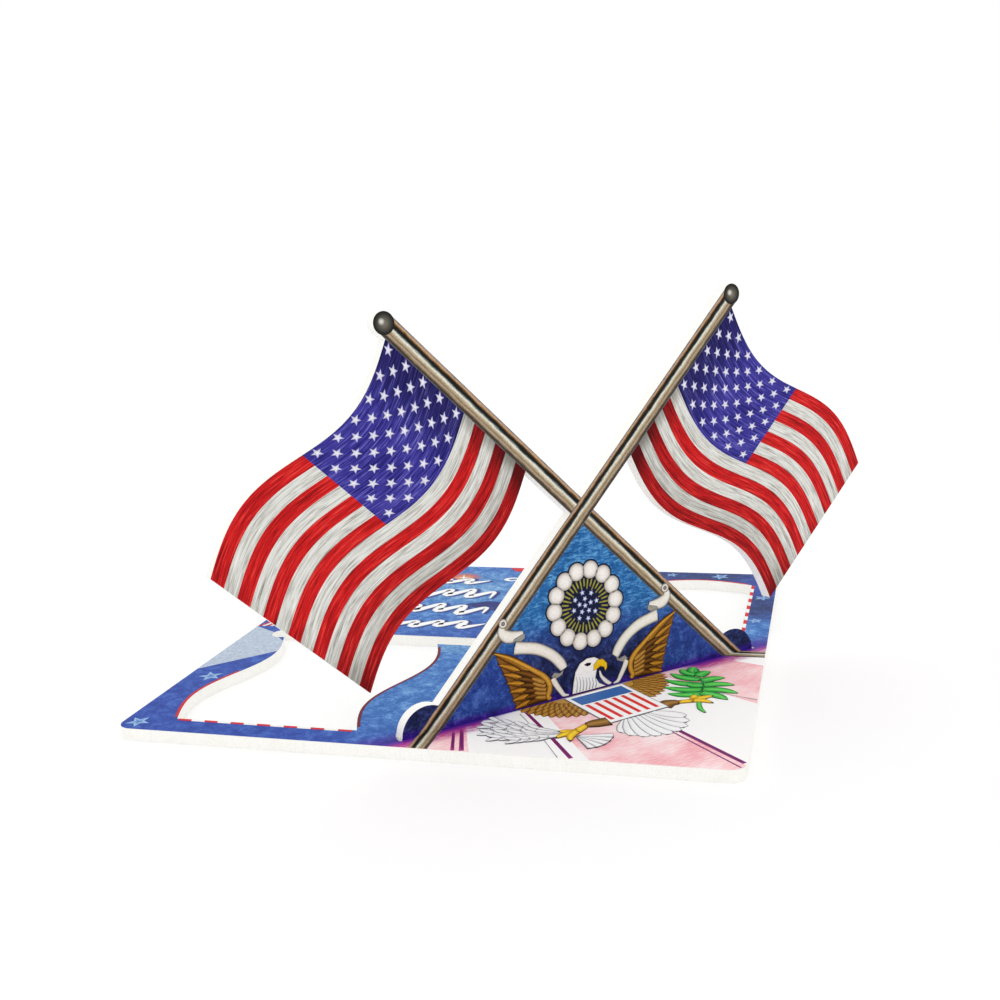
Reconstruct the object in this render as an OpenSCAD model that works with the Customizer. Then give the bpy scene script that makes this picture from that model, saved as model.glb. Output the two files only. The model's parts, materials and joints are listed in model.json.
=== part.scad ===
// Fold-up flag card. A square card of printed foam board lies flat, and a
// die-cut panel folds up out of it along one straight crease. The panel shows
// two crossed flagpoles with a waving flag each, and an emblem field between
// the poles' feet. The openings that it leaves in the card have its outline.
//
// Millimetres. The card's underside lies on Z = 0 with the origin at its
// centre, its diagonals lie along X and Y, the crease runs along X, and the
// printed side of the raised panel faces -Y.

/* [Card] */
// Least width of board left between an opening and the card's edge
rim = 3.1; // [2:0.1:20]
// Radius of the card's corners
corner_r = 4; // [1:0.5:8]
// Thickness of the foam core
core_t = 2.7; // [2:0.1:4]
// Thickness of the printed sheet on top of the core
print_t = 0.25; // [0.2:0.05:0.4]
// Thickness of the liner sheet under the core
liner_t = 0.25; // [0.2:0.05:0.4]

/* [Crease] */
// Angle that the panel is folded up from the flat card
fold_angle = 87; // [0:1:120]
// Distance from the crease's axis at which the board's two sides end
crease_gap = 0.3; // [0.25:0.05:0.5]
// Gap that the panel's swinging edges keep from the card
swing_gap = 0.15; // [0.1:0.05:0.5]

/* [Poles] */
// Distance of the poles' crossing in front of the card's centre
cross_forward = 3.2; // [0:0.1:8]
// Height of the poles' crossing above the crease
field_h = 46; // [36:0.5:56]
// Width of a pole
pole_w = 4.7; // [3:0.1:6]
// Length of a pole from the crossing to the centre of its finial
pole_up = 67.3; // [60:0.1:82]
// Diameter of the ball finial
finial_d = 5; // [4:0.1:7]
// Radius of the round lobe at each pole's foot
lobe_r = 7; // [5:0.1:8.5]

/* [Flags] */
// Distance from a flag's upper edge to the centre of its finial
flag_below = 2.3; // [1:0.1:6]
// Height of a flag along its pole
flag_hoist = 46; // [38:0.1:56]
// Length of a flag from its pole's side to its free end
flag_fly = 63; // [50:0.1:76]
// Height of the wave in a flag's edges
flag_wave = 3.8; // [1:0.1:6]
// Straight steps along a flag's waving edge
wave_steps = 28; // [12:1:48]

/* [Hidden] */
$fn = 64;
board_t = liner_t + core_t + print_t;
hinge_z = board_t - print_t / 2;
cross_y = -cross_forward;
crease_y = cross_y - field_h;
// Half a pole's length along the board from the crossing to the crease
foot_l = field_h * sqrt(2);
// How far a lobe's lower corner swings out past its edge as the panel rises
swing_out = sqrt(pow(lobe_r, 2) + pow(board_t, 2)) - lobe_r;
cut_gap = swing_out + swing_gap;
// Distance of a flag's lower edge from the crossing, along its pole
flag_drop = pole_up - flag_below - flag_hoist;
// Distance along a pole from the crossing to the card's mid-line
mid_up = cross_forward / sqrt(2);
// Furthest that the panel's finials, flags and lobes reach towards a side of
// the card, which the card's width follows
reach = max(
    pole_up + finial_d / 2 - mid_up,
    pole_w / 2 + flag_fly + mid_up,
    foot_l + lobe_r / sqrt(2) + mid_up
);
card_w = 2 * (reach + cut_gap + rim);
far = 2 * card_w;

// Rise of a flag's edge, and its slope, at a share k of the way along it
function wave_rise(k) = -flag_wave * sin(360 * k);
function wave_slope(k) = -flag_wave * 2 * PI * cos(360 * k) / flag_fly;

// Point on a flag's edge, moved outwards by grow; side is 1 above and -1 below
function edge_point(k, v, side, grow) =
    let (s = wave_slope(k), n = side * grow / sqrt(1 + s * s))
    [pole_w / 2 + k * flag_fly - n * s, v + wave_rise(k) + n];

// Free corner of a flag, moved outwards by grow on both of its sides
function fly_corner(v, side, grow) =
    let (s = wave_slope(1))
    [pole_w / 2 + flag_fly + grow,
     v + s * grow + side * grow * sqrt(1 + s * s)];

function edge_points(v, side, grow) = concat(
    [[0, v + side * grow]],
    [for (i = [0:wave_steps - 1]) edge_point(i / wave_steps, v, side, grow)],
    [fly_corner(v, side, grow)]
);

function reversed(list) = [for (i = [len(list) - 1:-1:0]) list[i]];

// The outlines of a flag, its pole and its lobe stand on the crossing, with
// the pole along +Y and the flag on its +X side
module flag_outline(grow) {
    polygon(concat(
        edge_points(flag_drop, -1, grow),
        reversed(edge_points(flag_drop + flag_hoist, 1, grow))
    ));
}

module pole_outline(grow) {
    pole_down = foot_l + 2 * pole_w;
    translate([-pole_w / 2 - grow, -pole_down])
        square([pole_w + 2 * grow, pole_down + pole_up]);
    translate([0, pole_up])
        circle(d = finial_d + 2 * grow);
}

module lobe_outline(grow) {
    translate([0, -foot_l])
        circle(r = lobe_r + grow);
}

module arm_outline(grow) {
    translate([0, cross_y])
        rotate(-45) {
            flag_outline(grow);
            pole_outline(grow);
            lobe_outline(grow);
        }
}

module field_outline() {
    down = field_h + pole_w;
    polygon([
        [0, cross_y], [-down, cross_y - down], [down, cross_y - down]
    ]);
}

// The panel's whole outline, cut off behind the line at height y
module panel_outline(grow, y) {
    intersection() {
        union() {
            arm_outline(grow);
            mirror([1, 0]) arm_outline(grow);
            field_outline();
        }
        translate([-far, y])
            square([2 * far, 2 * far]);
    }
}

module card_outline() {
    straight = card_w - 2 * corner_r;
    rotate(45) {
        square([card_w, straight], center = true);
        square([straight, card_w], center = true);
        for (x = [-1, 1], y = [-1, 1])
            translate([x * straight / 2, y * straight / 2])
                circle(r = corner_r);
    }
}

// A layer of the card, and a layer of the panel turned up about the crease
module base_layer(z, thickness) {
    translate([0, 0, z])
        linear_extrude(thickness)
            difference() {
                card_outline();
                panel_outline(cut_gap, crease_y - crease_gap);
            }
}

module panel_layer(z, thickness) {
    translate([0, crease_y, hinge_z])
        rotate([fold_angle, 0, 0])
            translate([0, -crease_y, z - hinge_z])
                linear_extrude(thickness)
                    panel_outline(0, crease_y + crease_gap);
}

module base_liner() {
    color("whitesmoke") base_layer(0, liner_t);
}

module base_core() {
    color("ivory") base_layer(liner_t, core_t);
}

module base_print() {
    color("royalblue") base_layer(liner_t + core_t, print_t);
}

// The printed sheet runs on over the crease: this bead is its bent strip
module crease_hinge() {
    width = 2 * (field_h + lobe_r);
    color("mediumpurple")
        translate([-width / 2, crease_y, hinge_z])
            rotate([0, 90, 0])
                cylinder(d = print_t, h = width);
}

module panel_liner() {
    color("whitesmoke") panel_layer(0, liner_t);
}

module panel_core() {
    color("ivory") panel_layer(liner_t, core_t);
}

module panel_print() {
    color("firebrick") panel_layer(liner_t + core_t, print_t);
}

base_core();
base_print();
base_liner();
crease_hinge();
panel_core();
panel_print();
panel_liner();
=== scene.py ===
import json
import math

import bmesh
import bpy
from mathutils import Matrix, Vector
from mathutils.geometry import tessellate_polygon


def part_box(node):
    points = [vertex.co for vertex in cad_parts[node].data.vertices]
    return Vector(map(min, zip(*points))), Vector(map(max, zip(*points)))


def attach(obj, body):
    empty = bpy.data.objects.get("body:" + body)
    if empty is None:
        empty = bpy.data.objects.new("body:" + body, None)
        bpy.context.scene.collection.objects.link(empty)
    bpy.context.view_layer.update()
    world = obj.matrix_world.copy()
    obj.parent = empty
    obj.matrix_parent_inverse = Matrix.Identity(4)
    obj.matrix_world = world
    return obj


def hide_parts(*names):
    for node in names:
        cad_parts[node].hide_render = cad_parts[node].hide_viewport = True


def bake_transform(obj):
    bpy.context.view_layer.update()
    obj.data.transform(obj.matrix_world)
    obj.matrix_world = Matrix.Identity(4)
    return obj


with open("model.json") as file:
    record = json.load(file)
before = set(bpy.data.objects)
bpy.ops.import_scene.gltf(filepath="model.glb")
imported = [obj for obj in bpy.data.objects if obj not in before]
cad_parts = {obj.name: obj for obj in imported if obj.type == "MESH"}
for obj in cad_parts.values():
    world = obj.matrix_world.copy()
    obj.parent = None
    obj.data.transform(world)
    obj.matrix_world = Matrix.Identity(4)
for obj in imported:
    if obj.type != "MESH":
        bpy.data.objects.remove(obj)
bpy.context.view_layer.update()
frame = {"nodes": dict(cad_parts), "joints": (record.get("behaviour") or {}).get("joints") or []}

MM = 0.001
BASE, PANEL = "base", "flag_panel"

# ---------------------------------------------------------------- sizes from the frame

fold = frame["joints"][0]
HINGE = Vector(fold["pos_m"])
RAISED = math.radians(-fold["range_deg"][0])
CREASE = HINGE.y / MM
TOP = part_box("base_print")[1].z
CORE_END = 0.3              # the board's two cores and sheets end this far from the crease

# The drawing's own sizes, in millimetres, which are those of the die-cut outline
CARD_W = 152.4
CROSS = (0.0, -3.2)         # where the poles cross
POLE_W = 4.7
POLE_UP = 67.3              # from the crossing to the finial's centre
FINIAL_D = 5.0
FOOT = (CROSS[1] - CREASE) * math.sqrt(2)   # from the crossing to the crease, along a pole
LOBE_R = 7.0
HOIST, FLY = 46.0, 63.0     # a flag's height along its pole, and its length
DROP = POLE_UP - 2.3 - HOIST
WAVE = 3.8                  # height of the wave in a flag's edges
CUT_GAP = 0.85              # from the panel's outline to the opening's edge
GRAIN_SHIFT = 40            # sets the two poles' streaks apart
STRIPES = 13
STRIPE = HOIST / STRIPES
CANTON_FLY = 0.488 * FLY
CANTON_V = 6 * STRIPE       # the canton starts above six stripes

CREASE_HALF = 53.5          # half the crease's width, with the swing gap
HALF_SHEET = (TOP - HINGE.z) / MM
# Ink of height h on both sides of the crease meets at h * FOLD_ROOM from it, at the fold's furthest
FOLD_ROOM = math.tan((RAISED + math.radians(fold["range_deg"][1])) / 2)
INK = 0.003                 # height that each layer of ink adds
SUNK = 0.012                # depth that an ink layer's underside lies in the sheet


# ---------------------------------------------------------------- places in the flat drawing

def card(x, y):
    """A point given from the card's front left corner, along its front and left sides."""
    x, y = x - CARD_W / 2, y - CARD_W / 2
    return (x + y) / math.sqrt(2), (y - x) / math.sqrt(2)


def arm(side, u, v):
    """A point u out from a pole's axis and v up the pole from the crossing; side is 1 or -1."""
    return side * (u + v) / math.sqrt(2), CROSS[1] + (v - u) / math.sqrt(2)


def emblem(x, h):
    """A point h up from the crease."""
    return x, CREASE + h


def waved(u, v):
    """A point of the flag's drawing, moved by the wave of its edges."""
    share = min(max((u - POLE_W / 2) / FLY, 0.0), 1.03)
    return u, v - WAVE * math.sin(2 * math.pi * share)


def on_body(body, x, y, height):
    """The place in the frame, in metres, of a point of the drawing on the card or on the panel."""
    clear = FOLD_ROOM * (HALF_SHEET + max(height, 0.0)) + 0.03
    if body == PANEL:
        y = max(y, CREASE + clear)
    elif abs(x) < CREASE_HALF and y < CREASE + LOBE_R:
        y = min(y, CREASE - clear)
    place = Vector((x * MM, y * MM, TOP + height * MM))
    if body == PANEL:
        place = HINGE + Matrix.Rotation(RAISED, 3, "X") @ (place - HINGE)
    return place


# ---------------------------------------------------------------- outlines and patches

def added(name, data):
    """A new object in the scene."""
    piece = bpy.data.objects.new(name, data)
    bpy.context.scene.collection.objects.link(piece)
    return piece


class Patch:
    """A flat piece of the drawing: its points, its faces, and its paint coordinates."""

    def __init__(self, points, faces, paint):
        self.points, self.faces, self.paint = list(points), list(faces), list(paint)


def spline(points, steps=6):
    """A smooth curve through the points."""
    ends = [points[0], *points, points[-1]]
    made = []
    for i in range(len(points) - 1):
        a, b, c, d = (Vector(p) for p in ends[i:i + 4])
        for k in range(steps):
            t = k / steps
            made.append(0.5 * (2 * b + (c - a) * t + (2 * a - 5 * b + 4 * c - d) * t * t
                               + (3 * b - a - 3 * c + d) * t ** 3))
    made.append(Vector(points[-1]))
    return made


def signed_area(points):
    return sum(a[0] * b[1] - b[0] * a[1] for a, b in zip(points, [*points[1:], points[0]])) / 2


def fill(points, rim=0.0):
    """A filled outline. Its paint coordinate is 1 on the outline and 0 from rim inwards."""
    points = [Vector((p[0], p[1])) for p in points]
    if signed_area(points) < 0:
        points.reverse()
    n = len(points)
    if rim <= 0:
        faces = tessellate_polygon([[p.to_3d() for p in points]])
        return Patch(points, faces, [(0.0, 0.0)] * n)
    inner = []
    for i, p in enumerate(points):
        ahead = (points[(i + 1) % n] - p).normalized()
        back = (p - points[i - 1]).normalized()
        along = (ahead + back).normalized() if (ahead + back).length > 1e-6 else ahead
        inner.append(p + Vector((-along.y, along.x)) * rim)
    faces = [(i, (i + 1) % n, n + (i + 1) % n, n + i) for i in range(n)]
    faces += [tuple(n + k for k in f) for f in tessellate_polygon([[p.to_3d() for p in inner]])]
    return Patch(points + inner, faces, [(1.0, 0.0)] * n + [(0.0, 0.0)] * n)


def strip(points, widths, steps=6, blunt=(0, 0)):
    """A band along a smooth curve. Its paint coordinates are 0 at the middle and 1 at the border,
    and the length in millimetres. A blunt end has a border of its own of that length."""
    path = spline(points, steps)
    total = len(path) - 1
    rows = []
    length = 0.0
    for i, p in enumerate(path):
        along = (path[min(i + 1, total)] - path[max(i - 1, 0)]).normalized()
        length += (p - path[i - 1]).length if i else 0.0
        where = i / total * (len(widths) - 1)
        k = min(int(where), len(widths) - 2)
        half = (widths[k] + (widths[k + 1] - widths[k]) * (where - k)) / 2
        rows.append((p, Vector((-along.y, along.x)), along, half, length))
    made, faces, paint = [], [], []

    def add_row(p, normal, half, middle, length):
        made.extend([p - normal * half, p, p + normal * half])
        paint.extend([(1.0, length), (middle, length), (1.0, length)])

    for i, (p, normal, along, half, length) in enumerate(rows):
        first, last = i == 0, i == total
        add_row(p, normal, half, 1.0 if first or last else 0.0, length)
        if first and blunt[0]:
            add_row(p + along * blunt[0], normal, half, 0.0, length)
        if last and blunt[1]:
            end = made[-3:], paint[-3:]
            del made[-3:], paint[-3:]
            add_row(p - along * blunt[1], normal, half, 0.0, length)
            made.extend(end[0])
            paint.extend(end[1])
    for r in range(len(made) // 3 - 1):
        a, b = 3 * r, 3 * r + 3
        faces += [(a, b, b + 1, a + 1), (a + 1, b + 1, b + 2, a + 2)]
    return Patch(made, faces, paint)


def disc(centre, r, sides=28):
    """A round spot. Its paint coordinate is 0 at the centre and 1 at the rim."""
    c = Vector(centre)
    points = [c] + [c + r * Vector((math.cos(a), math.sin(a)))
                    for a in (2 * math.pi * i / sides for i in range(sides))]
    faces = [(0, 1 + i, 1 + (i + 1) % sides) for i in range(sides)]
    return Patch(points, faces, [(0.0, 0.0)] + [(1.0, 0.0)] * sides)


def star(centre, r, turn=90, inner=0.42, tips=5):
    """A star with its first tip at the angle turn, in degrees."""
    c = Vector(centre)
    points = [c]
    for i in range(2 * tips):
        a = math.radians(turn) + math.pi * i / tips
        reach = r * (inner if i % 2 else 1.0)
        points.append(c + reach * Vector((math.cos(a), math.sin(a))))
    faces = [(0, 1 + i, 1 + (i + 1) % (2 * tips)) for i in range(2 * tips)]
    return Patch(points, faces, [(0.0, 0.0)] + [(1.0, 0.0)] * (2 * tips))


def grid(place, u_range, v_range, columns, rows, paint=None):
    """A patch whose points place() puts in the drawing. Its paint coordinates are u and v."""
    points, coords = [], []
    for j in range(rows + 1):
        for i in range(columns + 1):
            u = u_range[0] + (u_range[1] - u_range[0]) * i / columns
            v = v_range[0] + (v_range[1] - v_range[0]) * j / rows
            points.append(place(u, v))
            coords.append(paint(u, v) if paint else (u, v))
    n = columns + 1
    faces = [(j * n + i, j * n + i + 1, (j + 1) * n + i + 1, (j + 1) * n + i)
             for j in range(rows) for i in range(columns)]
    return Patch(points, faces, coords)


def moved(patch, place):
    """The patch with its points put elsewhere in the drawing by place(x, y)."""
    return Patch([place(p[0], p[1]) for p in patch.points], patch.faces, patch.paint)


# The layer of ink on which a piece starts, where that is not the first
FIRST_LAYER = {"left_pole": 17, "right_pole": 20, "left_pole_foot": 9, "right_pole_foot": 9,
               "bead_rosette": 2, "left_ribbon": 24, "right_ribbon": 24, "left_wing": 32,
               "right_wing": 32, "left_wing_shoulder": 4, "right_wing_shoulder": 4,
               "eagle_head": 53, "eagle_collar": 3, "shield": 60, "tail_feathers": 22,
               "arrow_bundle": 30, "sprig": 30, "left_trim": 6, "right_trim": 6}


def draw(name, body, items):
    """Makes one piece of print from (patch, paint) items, each a layer of ink above the last."""
    level = FIRST_LAYER.get(name, 1)
    points, faces, paints, slots, coords = [], [], [], [], []
    for layer, (patch, paint) in enumerate(items):
        if paint not in paints:
            paints.append(paint)
        n, first = len(patch.points), len(points)
        height = INK * (level + layer)
        points += [on_body(body, p[0], p[1], height) for p in patch.points]
        points += [on_body(body, p[0], p[1], -SUNK) for p in patch.points]
        tops = [tuple(f) if signed_area([patch.points[k] for k in f]) > 0 else tuple(reversed(f))
                for f in patch.faces]
        edges = {}
        for f in tops:
            for a, b in zip(f, [*f[1:], f[0]]):
                edges[(a, b)] = (b, a) not in edges and edges.get((a, b), True)
                if (b, a) in edges:
                    edges[(b, a)] = edges[(a, b)] = False
        walls = [(a, a + n, b + n, b) for (a, b), free in edges.items() if free]
        made = tops + [tuple(k + n for k in reversed(f)) for f in tops] + walls
        for f in made:
            faces.append(tuple(first + k for k in f))
            slots.append(paints.index(paint))
            coords += [patch.paint[k % n] for k in f]
    mesh = bpy.data.meshes.new(name)
    mesh.from_pydata(points, [], faces)
    mesh.uv_layers.new(name="art")
    for corner, uv in zip(mesh.uv_layers["art"].data, coords):
        corner.uv = uv
    for paint in paints:
        mesh.materials.append(PAINTS[paint])
    mesh.polygons.foreach_set("material_index", slots)
    mesh.update()
    piece = added(name, mesh)
    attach(piece, body)
    return piece


# ---------------------------------------------------------------- materials

COLOURS = {"data_type": "RGBA"}
TINTS = {"data_type": "RGBA", "blend_type": "MULTIPLY"}
SMOOTH = {"interpolation_type": "SMOOTHSTEP"}


def rgb(code):
    """An sRGB hex colour as linear red, green, blue and alpha."""
    parts = [int(code[i:i + 2], 16) / 255 for i in (1, 3, 5)]
    return tuple(c / 12.92 if c <= 0.04045 else ((c + 0.055) / 1.055) ** 2.4 for c in parts) + (1.0,)


def node(tree, kind, inputs=(), stops=None, **settings):
    """Adds a node. inputs gives its sockets' values, links, or nodes whose first live output is
    linked; stops gives a ramp's positions and colours."""
    made = tree.nodes.new(kind)
    for key, value in settings.items():
        setattr(made, key, value)
    for socket, value in dict(inputs).items():
        if isinstance(value, bpy.types.Node):
            value = next(output for output in value.outputs if output.enabled)
        if isinstance(value, bpy.types.NodeSocket):
            tree.links.new(value, made.inputs[socket])
        else:
            made.inputs[socket].default_value = value
    if stops:
        elements = made.color_ramp.elements
        while len(elements) < len(stops):
            elements.new(0.5)
        for element, (position, code) in zip(elements, stops):
            element.position, element.color = position, rgb(code)
    return made


def new_material(name, roughness):
    """A node tree for a material of print or board, which has little gloss."""
    mat = bpy.data.materials.new(name)
    mat.use_nodes = True
    mat.node_tree.nodes.clear()
    return mat, mat.node_tree, {"Roughness": roughness, "IOR": 1.45, "Specular IOR Level": 0.08}


def finished(mat, tree, shader, colour, bump):
    """Puts the colour and the bump on the material's surface."""
    surface = node(tree, "ShaderNodeBsdfPrincipled", {**shader, "Base Color": colour, "Normal": bump})
    node(tree, "ShaderNodeOutputMaterial", {"Surface": surface})
    return mat


def millimetres(tree, **mapping):
    """Object coordinates in millimetres, turned or stretched by the mapping."""
    place = node(tree, "ShaderNodeTexCoord").outputs["Object"]
    return node(tree, "ShaderNodeMapping", {"Vector": place, "Scale": (1 / MM,) * 3, **mapping})


def paper_tooth(tree, vector, depth=0.012):
    """The fine tooth of coated paper, about 0.2 mm across, drawn as coarse as the eye can see."""
    tooth = node(tree, "ShaderNodeTexNoise", {"Vector": vector, "Scale": 3.0, "Detail": 3.0})
    return node(tree, "ShaderNodeBump", {"Height": tooth, "Strength": 0.35, "Distance": depth * MM})


def foam_board_core():
    """Extruded polystyrene foam, cut with a steel rule: matte warm white, with cells of about
    0.4 mm and faint upright marks that the rule leaves on the cut."""
    mat, tree, shader = new_material("extruded_foam_core", 0.8)
    where = millimetres(tree)
    cells = node(tree, "ShaderNodeTexVoronoi", {"Vector": where, "Scale": 2.4})
    clouds = node(tree, "ShaderNodeTexNoise", {"Vector": where, "Scale": 0.12, "Detail": 4.0})
    marks_at = millimetres(tree, Scale=(3.0 / MM, 3.0 / MM, 0.12 / MM))
    marks = node(tree, "ShaderNodeTexNoise", {"Vector": marks_at, "Scale": 1.0, "Detail": 2.0})
    tint = node(tree, "ShaderNodeValToRGB", {0: clouds}, [(0.3, "#F8F7F2"), (0.7, "#FDFCFA")])
    pores = node(tree, "ShaderNodeValToRGB", {0: cells}, [(0.25, "#FFFFFF"), (0.95, "#ECEAE4")])
    lines = node(tree, "ShaderNodeValToRGB", {0: marks}, [(0.35, "#F3F1EA"), (0.6, "#FFFFFF")])
    colour = node(tree, "ShaderNodeMix", {0: 0.35, 6: tint, 7: pores}, **TINTS)
    colour = node(tree, "ShaderNodeMix", {0: 0.2, 6: colour, 7: lines}, **TINTS)
    bump = node(tree, "ShaderNodeBump", {"Height": cells, "Strength": 0.5, "Distance": 0.06 * MM},
                invert=True)
    return finished(mat, tree, shader, colour, bump)


def uncoated_liner():
    """Uncoated white liner paper: matte, with a faint cloudy formation and short fibres."""
    mat, tree, shader = new_material("uncoated_liner_paper", 0.85)
    where = millimetres(tree)
    clouds = node(tree, "ShaderNodeTexNoise", {"Vector": where, "Scale": 0.25, "Detail": 5.0})
    fibres_at = millimetres(tree, Scale=(2.2 / MM, 0.5 / MM, 0.5 / MM), Rotation=(0.0, 0.0, 0.6))
    fibres = node(tree, "ShaderNodeTexNoise",
                  {"Vector": fibres_at, "Scale": 1.0, "Detail": 4.0, "Distortion": 1.2})
    tint = node(tree, "ShaderNodeValToRGB", {0: clouds}, [(0.3, "#F1F0EC"), (0.7, "#FAF9F6")])
    hairs = node(tree, "ShaderNodeValToRGB", {0: fibres}, [(0.3, "#E8E4DC"), (0.55, "#FFFFFF")])
    colour = node(tree, "ShaderNodeMix", {0: 0.4, 6: tint, 7: hairs}, **TINTS)
    return finished(mat, tree, shader, colour, paper_tooth(tree, where, 0.03))


def pencil_grain(tree, where, fine=1.1, coarse=0.28):
    """Two sizes of pencil mottle, from dark to light around 0.5."""
    small = node(tree, "ShaderNodeTexNoise",
                 {"Vector": where, "Scale": fine, "Detail": 5.0, "Roughness": 0.7, "Distortion": 0.6})
    large = node(tree, "ShaderNodeTexNoise",
                 {"Vector": where, "Scale": coarse, "Detail": 3.0, "Distortion": 0.8})
    both = node(tree, "ShaderNodeMath", {0: small, 1: large}, operation="ADD")
    return node(tree, "ShaderNodeMath", {0: both, 1: 0.5}, operation="MULTIPLY")


def sheet_edge(tree, colour, up):
    """The print covers only the face that points up; the sheet's cut edge is white paper."""
    place = node(tree, "ShaderNodeTexCoord")
    facing = node(tree, "ShaderNodeVectorMath", {0: place.outputs["Normal"], 1: up},
                  operation="DOT_PRODUCT")
    face = node(tree, "ShaderNodeMath", {0: facing, 1: 0.7}, operation="GREATER_THAN")
    return node(tree, "ShaderNodeMix", {0: face, 6: rgb("#F4F2EC"), 7: colour}, **COLOURS)


def card_print():
    """Coated paper printed in full colour: satin, with mottled pencil blues that shift from royal
    to azure and navy, and white paper with pink pencil shading on the front corner."""
    mat, tree, shader = new_material("coated_card_print", 0.42)
    where = millimetres(tree, Scale=(1 / MM, 1 / MM, 0.0))
    grain = pencil_grain(tree, where)
    blues = {"royal": ("#1A3488", "#2748A2", "#466CBC"), "azure": ("#22559C", "#3A70B8", "#74A6DA"),
             "navy": ("#101C4C", "#1E3470", "#345498"), "sky": ("#2F66A4", "#568CC2", "#A4C6E2"),
             "violet": ("#22146A", "#34208A", "#5C38A4")}
    inks = {name: node(tree, "ShaderNodeValToRGB", {0: grain}, list(zip((0.33, 0.49, 0.65), codes)))
            for name, codes in blues.items()}
    # The washes' borders wander by up to 4.5 mm
    wobble = node(tree, "ShaderNodeTexNoise", {"Vector": where, "Scale": 0.09, "Detail": 3.0})
    spread = node(tree, "ShaderNodeVectorMath", {0: wobble.outputs["Color"], "Scale": 9.0},
                  operation="SCALE")
    soft = node(tree, "ShaderNodeVectorMath", {0: where, 1: spread}, operation="ADD")
    soft = node(tree, "ShaderNodeVectorMath", {0: soft, 1: (4.5, 4.5, 4.5)}, operation="SUBTRACT")
    flat = node(tree, "ShaderNodeVectorMath", {0: soft, 1: (1.0, 1.0, 0.0)}, operation="MULTIPLY")
    colour = inks["royal"]
    washes = [("azure", card(66, 30), 10, 34), ("azure", card(66, 58), 6, 20),
              ("azure", card(40, 122), 22, 62), ("sky", card(52, 126), 4, 26),
              ("navy", card(128, 150), 8, 26), ("navy", card(108, 100), 6, 24),
              ("azure", card(149, 96), 3, 16), ("navy", card(148, 116), 4, 18),
              ("sky", card(66, 70), 1, 10)]
    for ink, centre, inner, outer in washes:
        away = node(tree, "ShaderNodeVectorMath", {0: flat, 1: (*centre, 0.0)}, operation="DISTANCE")
        share = node(tree, "ShaderNodeMapRange", {0: away, 1: inner, 2: outer, 3: 1.0, 4: 0.0}, **SMOOTH)
        colour = node(tree, "ShaderNodeMix", {0: share, 6: colour, 7: inks[ink]}, **COLOURS)
    # Along the crease the blue turns violet, and in front of it the corner is white and pink
    x, y = node(tree, "ShaderNodeSeparateXYZ", {0: where}).outputs[:2]
    across = node(tree, "ShaderNodeSeparateXYZ", {0: flat})
    behind = node(tree, "ShaderNodeMath", {0: across.outputs[1], 1: CREASE}, operation="SUBTRACT")
    glow = node(tree, "ShaderNodeMapRange", {0: behind, 1: 9.0, 2: 0.0}, **SMOOTH)
    ends = node(tree, "ShaderNodeMath", {0: x}, operation="ABSOLUTE")
    at_ends = node(tree, "ShaderNodeMapRange", {0: ends, 1: 38.0, 2: 50.0}, **SMOOTH)
    glow = node(tree, "ShaderNodeMath", {0: glow, 1: at_ends}, operation="MULTIPLY")
    colour = node(tree, "ShaderNodeMix", {0: glow, 6: colour, 7: inks["violet"]}, **COLOURS)
    below = node(tree, "ShaderNodeMath", {0: CREASE, 1: y}, operation="SUBTRACT")
    # Rays that spread from high above the crease divide the corner into pink and white sectors
    rise = node(tree, "ShaderNodeMath", {0: below, 1: RAY_RISE}, operation="ADD")
    sideways = node(tree, "ShaderNodeMath", {0: x, 1: RAY_X}, operation="SUBTRACT")
    angle = node(tree, "ShaderNodeMath", {0: sideways, 1: rise}, operation="ARCTAN2")
    turns = node(tree, "ShaderNodeMath", {0: angle, 1: 1 / math.radians(2 * RAY_STEP), 2: 1.0},
                 operation="MULTIPLY_ADD")
    sector = node(tree, "ShaderNodeMath", {0: turns}, operation="FRACT")
    pink_side = node(tree, "ShaderNodeMath", {0: sector, 1: 0.5}, operation="GREATER_THAN")
    hatch_at = millimetres(tree, Rotation=(0.0, 0.0, math.radians(-20)),
                           Scale=(0.35 / MM, 2.4 / MM, 0.0))
    hatch = node(tree, "ShaderNodeTexNoise",
                 {"Vector": hatch_at, "Scale": 1.0, "Detail": 4.0, "Roughness": 0.65})
    drift = node(tree, "ShaderNodeTexNoise", {"Vector": where, "Scale": 0.08, "Detail": 2.0})
    mixed = node(tree, "ShaderNodeMath", {0: hatch, 1: drift}, operation="ADD")
    halved = node(tree, "ShaderNodeMath", {0: mixed, 1: 0.5}, operation="MULTIPLY")
    pinks = node(tree, "ShaderNodeValToRGB", {0: halved},
                 [(0.36, "#EE9CA6"), (0.47, "#F6C2C6"), (0.58, "#FBE2E2"), (0.68, "#FBF4F2")])
    corner = node(tree, "ShaderNodeMix", {0: pink_side, 6: rgb("#FAF9F8"), 7: pinks}, **COLOURS)
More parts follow.
